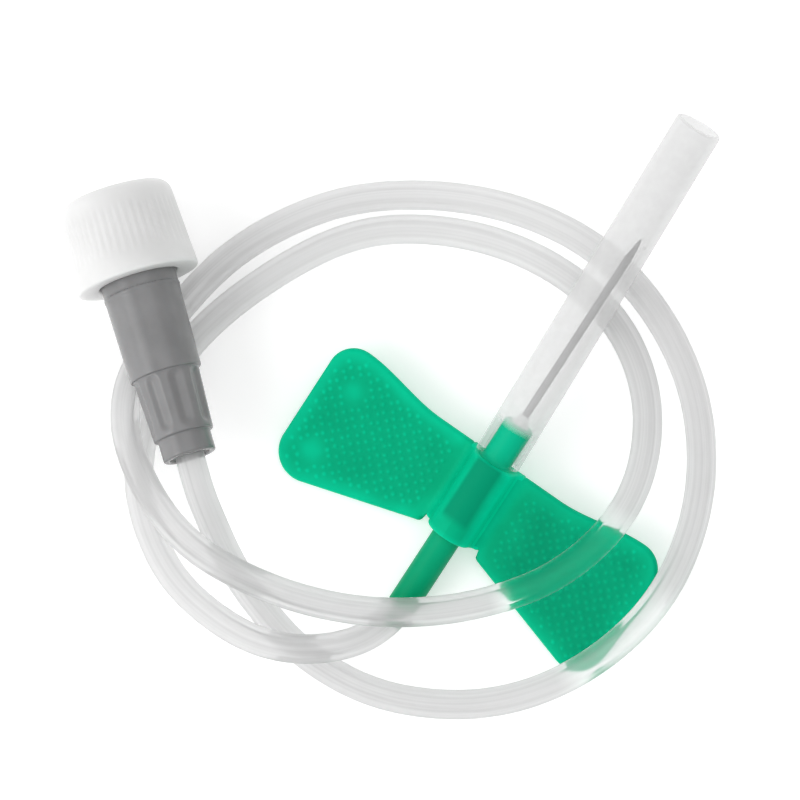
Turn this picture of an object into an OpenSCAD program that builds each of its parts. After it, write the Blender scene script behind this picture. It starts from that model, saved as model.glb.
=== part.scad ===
// Winged infusion set: a needle in its hub, a soft wing moulding folded at two
// thin lines, a clear guard, a looped length of clear tubing, and a cone
// connector under its cap. All lengths are in millimetres.
// The rigid set's middle stands over the origin, on the table at Z = 0;
// +Y runs along the hub towards the needle's tip and +X to the right wing.

/* [Needle] */
// Outside diameter of the needle
needle_od = 0.8; // [0.7:0.05:1.2]
// Bore of the needle
needle_bore = 0.5; // [0.3:0.05:0.65]
// Length of needle that stands out of the hub
needle_out = 21.2; // [12:0.4:25]
// Length of needle held inside the hub
needle_seat = 9; // [5:0.5:12]
// Angle between the tip's bevel and the needle
bevel_angle = 14; // [10:1:25]
// Length of the clear bond that closes the hub around the needle
bond_len = 1.0; // [0.6:0.1:1.6]
// Largest diameter of the bond, against the hub's nose
bond_d = 2.0; // [1.3:0.1:2.4]

/* [Hub] */
// Diameter of the nose in front of the sleeve
nose_d = 3.0; // [2.6:0.1:3.2]
// Length of the nose
nose_len = 4.3; // [3:0.1:6]
// Diameter of the core inside the sleeve
core_d = 2.7; // [2.2:0.1:3]
// Diameter of the tail behind the sleeve
tail_d = 2.9; // [2.4:0.1:3.4]
// Length of the tail
tail_len = 8.2; // [5:0.2:9]
// Diameter of the fluid passage and of the tubing's bore
passage_d = 1.5; // [1:0.1:1.8]
// Length of the spigot inside the tubing
spigot_len = 2.0; // [1:0.2:3]
// Wall of the spigot
spigot_wall = 0.2; // [0.15:0.05:0.4]

/* [Wings] */
// Length of the sleeve along the hub
sleeve_len = 8.5; // [7:0.1:9]
// Outside diameter of the sleeve
sleeve_d = 4.6; // [4.2:0.1:5.4]
// Thickness of the wings
wing_t = 0.9; // [0.6:0.05:1.3]
// Distance between the tips of the two wings
wing_span = 37.4; // [32:0.2:44]
// Distance between the two fold lines
fold_span = 6.1; // [5.2:0.1:7]
// Width of the thin line at each fold
fold_gap = 0.1; // [0.04:0.02:0.3]
// Reach of a wing's front corner ahead of the sleeve's middle
front_reach = 5.45; // [4.8:0.05:6.5]
// Reach of a wing's rear corner behind the sleeve's middle
rear_reach = 8.75; // [7.5:0.05:9.5]
// Radius of the front corner
front_corner_r = 2.7; // [1.5:0.1:3.5]
// Radius of the rear corner
rear_corner_r = 3.0; // [1.5:0.1:4]
// Reach of the heel where a wing's rear edge meets the fold
heel_reach = 5.2; // [4.8:0.1:6]
// Radius of the heel
heel_r = 0.6; // [0.3:0.1:1]

/* [Guard] */
// Outside diameter of the needle guard
guard_od = 4.6; // [4.2:0.1:5.4]
// Wall of the needle guard
guard_wall = 0.6; // [0.4:0.05:0.7]
// Length of the needle guard
guard_len = 37.5; // [32:0.5:42]
// Gap between the guard and the wings' front edge
guard_gap = 0.3; // [0.2:0.1:1]

/* [Tubing] */
// Outside diameter of the tubing
tube_od = 2.8; // [2.4:0.1:2.9]
// Length of tubing inside the connector's socket
tube_seat = 3.9; // [3:0.3:5]

/* [Connector] */
// Diameter of the connector's body at its mouth
body_d = 7.6; // [6.8:0.05:7.6]
// Diameter of the body where it steps down to the fluted grip
body_end_d = 6.95; // [6.6:0.05:7]
// Length of the body, from its mouth to the step
body_len = 16.65; // [15:0.1:18]
// Diameter of the fluted grip next to the step
grip_d = 6.36; // [6:0.02:6.6]
// Diameter of the fluted grip at its thin end
grip_end_d = 5.8; // [5.5:0.05:6]
// Length of the fluted grip
grip_len = 6.1; // [5:0.1:7]
// Number of flutes round the grip
flute_count = 8; // [6:1:10]
// Width of each flute
flute_w = 1.1; // [0.8:0.05:1.3]
// Depth of each flute
flute_depth = 0.3; // [0.2:0.05:0.4]
// Diameter of the collar round the tubing
collar_d = 5.1; // [4.6:0.1:5.4]
// Length of the collar
collar_len = 2.1; // [1.5:0.1:3]
// Diameter of the cone socket at its mouth
socket_d = 4.3; // [4.2:0.01:4.4]
// Depth of the cone socket
socket_len = 7.8; // [7.2:0.1:9]
// Loss of diameter for each unit of the cone's length
cone_taper = 0.06; // [0.05:0.005:0.07]
// Diameter across the two lugs at the mouth
lug_d = 7.9; // [7.7:0.05:8.1]

/* [Cap] */
// Diameter of the cap at its rim
cap_d = 11.85; // [11.6:0.05:12.6]
// Diameter of the cap at its closed end
cap_top_d = 10.8; // [10.8:0.05:11.4]
// Height of the cap
cap_h = 8.75; // [8.2:0.05:10]
// Radius of the rounded closed end
cap_round = 1.2; // [0.6:0.1:1.4]
// Clearance between the lugs and the cap's bore
lug_clear = 0.17; // [0.1:0.01:0.4]
// Thickness of the closed end
cap_top_t = 1.2; // [1:0.1:1.6]
// Number of grooves round the grip band
groove_count = 40; // [24:2:44]
// Depth of the grooves
groove_depth = 0.16; // [0.1:0.02:0.35]

/* [Pose] */
// Slope of the hub, which leans on its tail and on the wings' rear corners
hub_tilt = 12; // [10:0.5:12.5]
// Rise of the guard above the needle's line
guard_rise = 1.0; // [0:0.25:1.25]
// Swing of the guard to the left of the needle's line
guard_swing = 1.7; // [0:0.1:1.8]
// Slope of the connector and its cap
conn_tilt = 4.5; // [3.5:0.25:5]
// Direction of the connector across the table
conn_turn = -38; // [-41:0.5:-37]

/* [Hidden] */
$fn = 64;

// Clearances and small sizes
needle_clear = 0.02;   // round the needle in its hub
sleeve_clear = 0.03;   // between the hub's core and the sleeve
tube_clear = 0.03;     // round the tubing in its socket
cone_clear = 0.12;     // between the cap's plug and the socket
seat_gap = 0.3;        // between the cap's floor and the connector's mouth
plug_gap = 1.44;       // between the cap's plug and the end of the socket
overrun = 0.5;         // cuts run this far past the faces they open
nose_round = 0.8;      // rounding of the nose's end
root_lift = 22;        // angle down the sleeve's side where the wing root meets it
flare_start_share = 0.37;   // share of the wing's length where its front edge starts to flare
arc_steps = 8;         // points on each rounded corner
flare_steps = 10;      // points along the flared front edge
bead_h = 0.08;         // height of the bead round the connector, just outside the cap
bead_w = 0.5;
bead_out = 1.0;        // distance of the bead from the cap's rim
lug_len = 1.8;         // lugs at the connector's mouth
lug_w = 4.2;
collar_round = 0.45;   // rounding of the collar's end
flute_start = 0.35;    // plain length between the step and the flutes
flute_stop = 0.85;     // plain length after the flutes
grip_band_shares = [0.22, 0.76];   // ends of the cap's grooved band, as shares of its height
groove_w_share = 0.5;  // groove's width as a share of its pitch
rim_inset = 0.2;       // small bevel at the rims of the cap and the guard

// Places worked out from the sizes
sleeve_r = sleeve_d / 2;
sleeve_end = sleeve_len / 2;
nose_end = sleeve_end + nose_len;
tail_end = sleeve_end + tail_len;
needle_tip = nose_end + needle_out;
fold_x = fold_span / 2;
plate_top = wing_t - sleeve_r;
guard_near = sleeve_end + guard_gap;
hub_z = sleeve_r * cos(hub_tilt) + rear_reach * sin(hub_tilt);
hub_dir = [0, cos(hub_tilt), sin(hub_tilt)];

guard_dir = [-sin(guard_swing) * cos(guard_rise), cos(guard_swing) * cos(guard_rise), sin(guard_rise)];
guard_far_y = (guard_near + guard_len * guard_dir[1]) * cos(hub_tilt)
            - guard_len * guard_dir[2] * sin(hub_tilt) + guard_od / 2 * sin(hub_tilt + guard_rise);
spigot_far_y = -(tail_end + spigot_len) * cos(hub_tilt) - passage_d / 2 * sin(hub_tilt);
middle_y = (guard_far_y + spigot_far_y) / 2;

cap_bore_d = lug_d + 2 * lug_clear;
cap_rim = cap_h - cap_top_t - seat_gap;        // the rim's place along the connector from its mouth
conn_len = body_len + grip_len + collar_len;
conn_end_xy = [-23.85, -11.9];                      // the connector's rear end on the table's plan
conn_dir = [cos(conn_tilt) * cos(conn_turn), cos(conn_tilt) * sin(conn_turn), sin(conn_tilt)];
cap_flank_r = (cap_top_d + (cap_d - cap_top_d) * cap_round / cap_h) / 2;
conn_end_z = cap_flank_r * cos(conn_tilt) + (conn_len - cap_rim + cap_h - cap_round) * sin(conn_tilt);
conn_end = [conn_end_xy[0], conn_end_xy[1], conn_end_z];
conn_mouth = conn_end - conn_len * conn_dir;

// Route of the tubing's centre line between the connector and the hub's tail:
// under both loops, round the outer loop, under the connector, over the first
// run, over the tail and the right wing, round the inner loop and back again.
tube_out = 0.35;       // straight length outside the connector
tube_route = [
    [-21.2, -14.2, 7.0], [-18.6, -16.1, 4.7], [-16.0, -17.9, 2.6], [-12.4, -19.5, 1.6],
    [-5.0, -21.2, 1.45], [3.5, -20.1, 1.5], [11.9, -15.2, 1.8], [17.6, -7.6, 2.9],
    [20.1, 2.0, 4.2], [18.2, 11.5, 5.0], [12.6, 19.4, 5.4], [4.3, 24.4, 5.3],
    [-5.3, 26.0, 4.5], [-16.1, 23.3, 2.9], [-26.2, 16.4, 1.7], [-32.2, 6.6, 1.5],
    [-33.9, -3.9, 1.42], [-33.2, -10.2, 2.85], [-28.9, -15.1, 4.7], [-20.4, -18.6, 6.2],
    [-11.0, -17.9, 5.7], [-2.0, -14.4, 4.7], [5.7, -8.4, 4.1], [11.2, -0.5, 4.6],
    [12.6, 8.9, 5.5], [8.2, 17.4, 5.3], [-0.3, 22.0, 5.1], [-12.0, 21.2, 3.8],
    [-23.0, 14.9, 2.1], [-29.2, 3.8, 1.5], [-31.0, -6.6, 1.45], [-28.1, -16.0, 1.5],
    [-20.5, -21.9, 2.9], [-12.2, -23.1, 4.4], [-6.2, -21.6, 4.6], [-2.0, -18.2, 3.4],
    [-0.3, -15.0, 1.9]];
tube_sides = 8;
tube_steps = 2;        // rings between one route point and the next

// Moves what is drawn round the sleeve's middle to its place over the table
module at_middle() translate([0, -middle_y, 0]) children();

// The hub's own frame: X across, Y along the hub to the tip, Z out of the plate
module at_hub() at_middle() translate([0, 0, hub_z]) rotate([hub_tilt, 0, 0]) children();

// The connector's own frame: Z along it, from its mouth to its tubing end
module at_connector() at_middle() translate(conn_mouth) rotate([0, 90 - conn_tilt, conn_turn]) children();

// Turns a profile of [radius, height] points round the hub's Y axis
module turned(points) rotate([-90, 0, 0]) rotate_extrude() polygon(points);

// Points on an arc in steps from one angle to another
function arc(centre, r, from, to) =
    [for (i = [0:arc_steps]) centre + r * [cos(from + (to - from) * i / arc_steps), sin(from + (to - from) * i / arc_steps)]];

// Smooth rise from 0 to 1
function ease(t) = t * t * (3 - 2 * t);

module needle() color("silver") at_hub()
    difference() {
        translate([0, nose_end - needle_seat, 0]) rotate([-90, 0, 0])
            difference() {
                cylinder(d = needle_od, h = needle_seat + needle_out);
                translate([0, 0, -overrun])
                    cylinder(d = needle_bore, h = needle_seat + needle_out + 2 * overrun);
            }
        // the bevel leans back from the tip's lower edge, so it faces up
        translate([-needle_od, needle_tip, -needle_od / 2]) rotate([180 - bevel_angle, 0, 0])
            translate([0, 0, -needle_od * 2]) cube([needle_od * 2, needle_od / sin(bevel_angle) + overrun, needle_od * 2]);
    }

module needle_bond() color("white") at_hub()
    difference() {
        turned([[needle_od / 2 + needle_clear, nose_end], [bond_d / 2, nose_end],
                [bond_d / 2 - bond_len / 4, nose_end + bond_len / 3],
                [needle_od / 2 + needle_clear + bond_len / 10, nose_end + bond_len],
                [needle_od / 2 + needle_clear, nose_end + bond_len]]);
    }

module needle_hub() color([0.0, 0.62, 0.47]) at_hub()
    difference() {
        union() {
            turned(concat([[0, sleeve_end]], [[nose_d / 2, sleeve_end]],
                          arc([nose_d / 2 - nose_round, nose_end - nose_round], nose_round, 0, 90),
                          [[0, nose_end]]));
            turned([[0, -sleeve_end], [core_d / 2, -sleeve_end], [core_d / 2, sleeve_end], [0, sleeve_end]]);
            turned([[0, -tail_end], [tail_d / 2, -tail_end], [tail_d / 2, -sleeve_end], [0, -sleeve_end]]);
            turned([[0, -tail_end - spigot_len], [passage_d / 2, -tail_end - spigot_len],
                    [passage_d / 2, -tail_end], [0, -tail_end]]);
        }
        translate([0, nose_end - needle_seat, 0]) rotate([-90, 0, 0])
            cylinder(d = needle_od + 2 * needle_clear, h = needle_seat + overrun);
        translate([0, -tail_end - spigot_len - overrun, 0]) rotate([-90, 0, 0])
            cylinder(d = passage_d - 2 * spigot_wall, h = tail_end + spigot_len + overrun + nose_end - needle_seat);
    }

// Outline of the sleeve across the hub: a round barrel with the two wing roots
module sleeve_section() {
    circle(d = sleeve_d);
    root_x = fold_x - fold_gap / 2;
    polygon([[-root_x, -sleeve_r], [root_x, -sleeve_r], [root_x, plate_top],
             [sleeve_r * cos(root_lift), -sleeve_r * sin(root_lift)],
             [-sleeve_r * cos(root_lift), -sleeve_r * sin(root_lift)], [-root_x, plate_top]]);
}

module wing_sleeve() color([0.0, 0.66, 0.50]) at_hub()
    difference() {
        rotate([90, 0, 0]) linear_extrude(sleeve_len, center = true) sleeve_section();
        rotate([90, 0, 0]) cylinder(d = core_d + 2 * sleeve_clear, h = sleeve_len + 2 * overrun, center = true);
    }

// Outline of the right wing in the plate's plane, from the fold outwards: a front
// edge that flares to its corner, a straight tip, and a rear edge that runs
// back to the small rounded heel
function wing_outline() =
    let (root_x = fold_x + fold_gap / 2, tip_x = wing_span / 2,
         front_c = [tip_x - front_corner_r, front_reach - front_corner_r],
         rear_c = [tip_x - rear_corner_r, rear_corner_r - rear_reach],
         heel_c = [root_x + heel_r, heel_r - heel_reach],
         span = rear_c - heel_c,
         rear_turn = atan2(span[1], span[0]) - acos((heel_r - rear_corner_r) / norm(span)),
         flare_x = tip_x * flare_start_share)
    concat([[root_x, sleeve_end]],
           [for (i = [0:flare_steps - 1]) [flare_x + (front_c[0] - flare_x) * i / flare_steps,
                                           sleeve_end + (front_reach - sleeve_end) * ease(i / flare_steps)]],
           arc(front_c, front_corner_r, 90, 0),
           arc(rear_c, rear_corner_r, 0, rear_turn),
           arc(heel_c, heel_r, rear_turn, -180));

module wing() translate([0, 0, -sleeve_r]) linear_extrude(wing_t) polygon(wing_outline());

module left_wing() color([0.0, 0.68, 0.51]) at_hub() mirror([1, 0, 0]) wing();

module right_wing() color([0.0, 0.65, 0.48]) at_hub() wing();

module needle_guard() color([0.9, 0.9, 0.9, 0.5]) at_hub()
    translate([0, guard_near, 0]) rotate([guard_rise, 0, guard_swing])
        turned([[guard_od / 2 - guard_wall, 0], [guard_od / 2 - rim_inset, 0], [guard_od / 2, rim_inset],
                [guard_od / 2, guard_len - rim_inset], [guard_od / 2 - rim_inset, guard_len],
                [guard_od / 2 - guard_wall, guard_len]]);

// Smooth centre line through the whole route, ends included
function tube_points() =
    concat([conn_end - tube_seat * conn_dir, conn_end + tube_out * conn_dir], tube_route,
           [[0, 0, hub_z] - tail_end * hub_dir]);

function spline(a, b, c, d, t) =
    (2 * b + (c - a) * t + (2 * a - 5 * b + 4 * c - d) * t * t + (3 * b - a - 3 * c + d) * t * t * t) / 2;

function smooth(p) =
    let (n = len(p), q = concat([2 * p[0] - p[1]], p, [2 * p[n - 1] - p[n - 2]]))
    concat([for (i = [0:n - 2], j = [0:tube_steps - 1]) spline(q[i], q[i + 1], q[i + 2], q[i + 3], j / tube_steps)],
           [p[n - 1]]);

// Directions along the line: the connector's at its start and the hub's at its end
function directions(p) =
    let (n = len(p))
    [for (i = [0:n - 1]) let (v = i == 0 ? conn_dir : i == n - 1 ? hub_dir : p[i + 1] - p[i - 1]) v / norm(v)];

module tubing() color([0.85, 0.87, 0.86, 0.6]) at_middle() {
    line = smooth(tube_points());
    along = directions(line);
    rings = len(line);
    points = [for (i = [0:rings - 1], k = [0:tube_sides - 1])
        let (side = cross(along[i], [0, 0, 1]), across = side / norm(side), up = cross(across, along[i]),
             turn = 360 * (k + 1 / 2) / tube_sides)
        line[i] + tube_od / 2 * (cos(turn) * across + sin(turn) * up)];
    faces = concat([[for (k = [0:tube_sides - 1]) k]],
                   [[for (k = [tube_sides - 1:-1:0]) (rings - 1) * tube_sides + k]],
                   [for (i = [0:rings - 2], k = [0:tube_sides - 1])
                       [i * tube_sides + k, (i + 1) * tube_sides + k,
                        (i + 1) * tube_sides + (k + 1) % tube_sides, i * tube_sides + (k + 1) % tube_sides]]);
    polyhedron(points, faces);
}

// Radius of the cone socket at a distance from the mouth
function socket_r(z) = (socket_d - cone_taper * z) / 2;

// Diameter of the connector's body at a distance from the mouth
function body_at(z) = body_d - (body_d - body_end_d) * z / body_len;

module cone_connector() color([0.50, 0.50, 0.51]) at_connector()
    difference() {
        union() {
            rotate_extrude() polygon([[0, 0], [body_d / 2 - rim_inset, 0], [body_d / 2, rim_inset],
                [body_end_d / 2, body_len - rim_inset], [body_end_d / 2 - rim_inset, body_len],
                [grip_d / 2, body_len], [grip_end_d / 2, body_len + grip_len],
                [collar_d / 2, body_len + grip_len], [collar_d / 2, conn_len - collar_round],
                [collar_d / 2 - collar_round, conn_len], [0, conn_len]]);
            // bead just outside the cap
            translate([0, 0, cap_rim + bead_out]) cylinder(d = body_at(cap_rim + bead_out) + 2 * bead_h, h = bead_w);
            // two lugs at the mouth
            intersection() {
                cylinder(d = lug_d, h = lug_len);
                translate([-lug_d, -lug_w / 2, 0]) cube([2 * lug_d, lug_w, lug_len]);
            }
        }
        // cone socket, fluid passage and the socket for the tubing
        translate([0, 0, -overrun])
            cylinder(r1 = socket_r(-overrun), r2 = socket_r(socket_len), h = socket_len + overrun);
        cylinder(d = passage_d, h = conn_len);
        translate([0, 0, conn_len - tube_seat - tube_clear])
            cylinder(d = tube_od + 2 * tube_clear, h = tube_seat + overrun);
        // flutes along the grip
        flute_len = grip_len - flute_start - flute_stop;
        lean = atan((grip_d - grip_end_d) / 2 / grip_len);
        for (i = [0:flute_count - 1]) rotate([0, 0, (i + 1 / 2) * 360 / flute_count])
            translate([grip_d / 2 + flute_w / 2 - flute_depth, 0, body_len + flute_start]) rotate([0, -lean, 0])
                cylinder(d = flute_w, h = flute_len);
    }

module end_cap() color([0.93, 0.93, 0.92]) at_connector() {
    floor_z = -seat_gap;
    top_z = cap_rim - cap_h;
    flank = atan((cap_d - cap_top_d) / 2 / cap_h);
    groove_w = groove_w_share * PI * cap_top_d / groove_count;
    difference() {
        rotate_extrude() polygon(concat([[0, top_z]],
            arc([cap_top_d / 2 - cap_round, top_z + cap_round], cap_round, -90, 0),
            [[cap_d / 2, cap_rim - rim_inset], [cap_d / 2 - rim_inset, cap_rim], [0, cap_rim]]));
        translate([0, 0, floor_z]) cylinder(d = cap_bore_d, h = cap_rim - floor_z + overrun);
        // grooves of the grip band
        for (i = [0:groove_count - 1]) rotate([0, 0, i * 360 / groove_count])
            translate([cap_top_d / 2 - groove_depth, -groove_w / 2, top_z]) rotate([0, flank, 0])
                translate([0, 0, grip_band_shares[0] * cap_h])
                    cube([overrun + groove_depth, groove_w, (grip_band_shares[1] - grip_band_shares[0]) * cap_h]);
    }
    // plug that closes the connector's cone
    plug_end = socket_len - plug_gap;
    translate([0, 0, floor_z])
        cylinder(r1 = socket_r(floor_z) - cone_clear, r2 = socket_r(plug_end) - cone_clear, h = plug_end - floor_z);
}

needle();
needle_bond();
needle_hub();
wing_sleeve();
left_wing();
right_wing();
needle_guard();
tubing();
cone_connector();
end_cap();
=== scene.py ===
"""Winged infusion set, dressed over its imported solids.

The file follows the set as it is put together: tubing, needle, hub, winged
moulding, guard, connector and cap, then the table and its light. Lengths
inside a section are in millimetres and leave it in metres.
"""

import bmesh
import bpy
import numpy as np
from mathutils import Matrix


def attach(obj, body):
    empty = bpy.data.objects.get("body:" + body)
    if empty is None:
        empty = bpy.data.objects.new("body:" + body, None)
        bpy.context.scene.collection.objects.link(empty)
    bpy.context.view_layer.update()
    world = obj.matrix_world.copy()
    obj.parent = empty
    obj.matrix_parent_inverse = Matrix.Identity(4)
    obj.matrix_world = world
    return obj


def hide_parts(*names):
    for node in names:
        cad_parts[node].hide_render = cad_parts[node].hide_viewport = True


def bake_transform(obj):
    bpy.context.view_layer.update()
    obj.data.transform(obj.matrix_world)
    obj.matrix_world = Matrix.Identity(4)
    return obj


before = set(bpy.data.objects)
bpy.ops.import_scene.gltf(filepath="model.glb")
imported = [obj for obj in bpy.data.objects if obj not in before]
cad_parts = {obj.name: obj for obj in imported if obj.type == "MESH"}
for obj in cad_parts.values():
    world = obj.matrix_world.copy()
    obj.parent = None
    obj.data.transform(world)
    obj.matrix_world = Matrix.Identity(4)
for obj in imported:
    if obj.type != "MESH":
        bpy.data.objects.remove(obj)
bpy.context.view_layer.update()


# Camera
# Looks down on the set from a little to its right, with the picture's top
# turned 35 degrees towards the left wing, through a very long lens.
picture_turn = np.radians(35)
towards_camera = np.array([0.14, 0.02, 1.0])
towards_camera /= np.linalg.norm(towards_camera)
picture_up = np.array([-np.sin(picture_turn), np.cos(picture_turn), 0.0])
picture_up -= picture_up @ towards_camera * towards_camera
picture_up /= np.linalg.norm(picture_up)
picture_right = np.cross(picture_up, towards_camera)
picture_size = 800
pixels_per_metre = 10600
sleeve_middle = np.array([0.0, -0.0136003, 0.004069])
sleeve_pixel = np.array([471.75, 498.3])
off_centre = (picture_size / 2 - sleeve_pixel) / pixels_per_metre
aim = sleeve_middle + off_centre[0] * picture_right - off_centre[1] * picture_up
lens_length, film_width = 600.0, 36.0
distance = lens_length / film_width * picture_size / pixels_per_metre

camera = bpy.data.objects.new("camera", bpy.data.cameras.new("camera"))
bpy.context.scene.collection.objects.link(camera)
camera.data.lens, camera.data.sensor_width = lens_length, film_width
camera.data.clip_start, camera.data.clip_end = 0.01, 20.0
pose = np.eye(4)
pose[:3, 0], pose[:3, 1], pose[:3, 2] = picture_right, picture_up, towards_camera
pose[:3, 3] = aim + distance * towards_camera
camera.matrix_world = Matrix(pose.tolist())
bpy.context.scene.camera = camera


# Tubing
# One extruded length of clear soft vinyl, 2.8 mm across with a 1.5 mm bore,
# lying in two loops. It is bonded over the hub's spigot and into the connector.
# The vinyl is hazy, and clearer in two stretches over the right wing.
table_shift = np.array([0.0, -13.6003, 0.0])
tube_radius, tube_bore = 1.4, 0.74
line_step = 0.25
route = np.array([
    [-26.9138, -9.5063, 7.1224], [-23.5750, -12.1148, 7.4558],
    [-21.2, -14.2, 7.0], [-18.6, -16.1, 4.7], [-16.0, -17.9, 2.6], [-12.4, -19.5, 1.6],
    [-5.0, -21.2, 1.45], [3.5, -20.1, 1.5], [11.9, -15.2, 1.8], [17.6, -7.6, 2.9],
    [20.1, 2.0, 4.2], [18.2, 11.5, 5.0], [12.6, 19.4, 5.4], [4.3, 24.4, 5.3],
    [-5.3, 26.0, 4.5], [-16.1, 23.3, 2.9], [-26.2, 16.4, 1.7], [-32.2, 6.6, 1.5],
    [-33.9, -3.9, 1.42], [-33.2, -10.2, 2.85], [-28.9, -15.1, 4.7], [-20.4, -18.6, 6.2],
    [-11.0, -17.9, 5.7], [-2.0, -14.4, 4.7], [5.7, -8.4, 4.1], [11.2, -0.5, 4.6],
    [12.6, 8.9, 5.5], [8.2, 17.4, 5.3], [-0.3, 22.0, 5.1], [-12.0, 21.2, 3.8],
    [-23.0, 14.9, 2.1], [-29.2, 3.8, 1.5], [-31.0, -6.6, 1.45], [-28.1, -16.0, 1.5],
    [-20.5, -21.9, 2.9], [-12.2, -23.1, 4.4], [-6.2, -21.6, 4.6], [-2.0, -18.2, 3.4],
    [-0.3, -15.0, 1.9], [0.0, -12.1779, 1.4805],
])[::-1] + table_shift


def distance_gone(line):
    """The length of the line from its start to each of its points."""
    return np.concatenate([[0], np.cumsum(np.linalg.norm(np.diff(line, axis=0), axis=1))])


def smooth_line(points, steps, softness):
    """A line through the points: the cubic that passes each point in the direction
    of its two neighbours, then a running mean with a bell-shaped weight, which
    evens its bends. Both ends and their directions stay."""
    around = np.concatenate([[2 * points[0] - points[1]], points, [2 * points[-1] - points[-2]]])
    before, start, stop, after = around[:-3], around[1:-2], around[2:-1], around[3:]
    t = (np.arange(steps) / steps)[None, :, None]
    before, start, stop, after = (p[:, None, :] for p in (before, start, stop, after))
    line = 0.5 * (2 * start + (stop - before) * t
                  + (2 * before - 5 * start + 4 * stop - after) * t**2
                  + (3 * start - before - 3 * stop + after) * t**3)
    line = np.concatenate([line.reshape(-1, 3), points[-1:]])
    gone = distance_gone(line)
    even = np.linspace(0, gone[-1], int(gone[-1] / line_step))
    line = np.stack([np.interp(even, gone, line[:, k]) for k in range(3)], 1)
    reach = int(3 * softness / line_step)
    weight = np.exp(-0.5 * (np.arange(-reach, reach + 1) * line_step / softness) ** 2)
    weight /= weight.sum()
    before_start = 2 * line[0] - line[reach:0:-1]
    past_end = 2 * line[-1] - line[-2:-reach - 2:-1]
    padded = np.concatenate([before_start, line, past_end])
    return np.stack([np.convolve(padded[:, k], weight, "valid") for k in range(3)], 1)


def grid_piece(name, points, loop_rows=False, loop_columns=True, merge=0.0):
    """A mesh piece from a grid of points in metres, one row after another. Each
    cell is one face. Rows or columns close into loops where asked, points nearer
    than merge become one, and faces turn outwards by the sign of the volume."""
    rows, columns = points.shape[:2]
    index = np.arange(rows * columns).reshape(rows, columns)
    if loop_rows:
        index = np.concatenate([index, index[:1]])
    if loop_columns:
        index = np.concatenate([index, index[:, :1]], axis=1)
    corners = [index[:-1, :-1], index[:-1, 1:], index[1:, 1:], index[1:, :-1]]
    faces = np.stack(corners, -1).reshape(-1, 4)
    flat = points.reshape(-1, 3)
    a, b, c, d = (flat[faces[:, k]] - flat.mean(0) for k in range(4))
    volume = (np.cross(a, b) * c).sum() + (np.cross(a, c) * d).sum()
    if volume < 0:
        faces = faces[:, ::-1]
    mesh = bpy.data.meshes.new(name)
    mesh.from_pydata(flat.tolist(), [], faces.tolist())
    if merge:
        shape = bmesh.new()
        shape.from_mesh(mesh)
        bmesh.ops.remove_doubles(shape, verts=shape.verts, dist=merge)
        bmesh.ops.dissolve_degenerate(shape, edges=shape.edges, dist=merge / 10)
        shape.to_mesh(mesh)
        shape.free()
    mesh.polygons.foreach_set("use_smooth", np.ones(len(mesh.polygons), bool))
    mesh.update()
    piece = bpy.data.objects.new(name, mesh)
    bpy.context.scene.collection.objects.link(piece)
    return piece


def new_finish(name, **sockets):
    """A material with one Principled shader, its plain sockets set by name with
    underscores for spaces. Returns the material, its node tree and the shader."""
    finish = bpy.data.materials.new(name)
    finish.use_nodes = True
    tree = finish.node_tree
    shader = tree.nodes["Principled BSDF"]
    for socket, value in sockets.items():
        shader.inputs[socket.replace("_", " ")].default_value = value
    return finish, tree, shader


def add_node(tree, kind, settings=(), **sockets):
    """A node of that kind, with its own settings and its input sockets: a value
    is set and a socket is linked."""
    node = tree.nodes.new(kind)
    for name, value in dict(settings).items():
        setattr(node, name, value)
    for name, value in sockets.items():
        socket = node.inputs[int(name[1:]) if name[1:].isdigit() else name.replace("_", " ")]
        if isinstance(value, bpy.types.NodeSocket):
            tree.links.new(value, socket)
        else:
            socket.default_value = value
    return node


def let_lamps_through(tree, shader, colour):
    """Rays from lamps pass the material as through tinted film, so what lies
    under a clear piece stays lit."""
    path = add_node(tree, "ShaderNodeLightPath")
    film = add_node(tree, "ShaderNodeBsdfTransparent", Color=colour)
    mix = add_node(tree, "ShaderNodeMixShader", s0=path.outputs["Is Shadow Ray"],
                   s1=shader.outputs["BSDF"], s2=film.outputs["BSDF"])
    tree.links.new(mix.outputs["Shader"], tree.nodes["Material Output"].inputs["Surface"])


tube_line = smooth_line(route, 24, 1.6)[::2]
tube_along = np.gradient(tube_line, axis=0)
tube_along /= np.linalg.norm(tube_along, axis=1, keepdims=True)
tube_side = np.cross(tube_along, [0.0, 0.0, 1.0])
tube_side /= np.linalg.norm(tube_side, axis=1, keepdims=True)
tube_top = np.cross(tube_side, tube_along)
tube_angle = np.linspace(0, 2 * np.pi, 40, endpoint=False)[None, :, None]
tube_spoke = np.cos(tube_angle) * tube_side[:, None] + np.sin(tube_angle) * tube_top[:, None]
outside = tube_line[:, None] + tube_radius * tube_spoke
inside = tube_line[:, None] + tube_bore * tube_spoke
tubing = grid_piece("clear_tubing", np.concatenate([outside, inside[::-1]]) / 1000, loop_rows=True)
tube_gone = distance_gone(tube_line)

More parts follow.
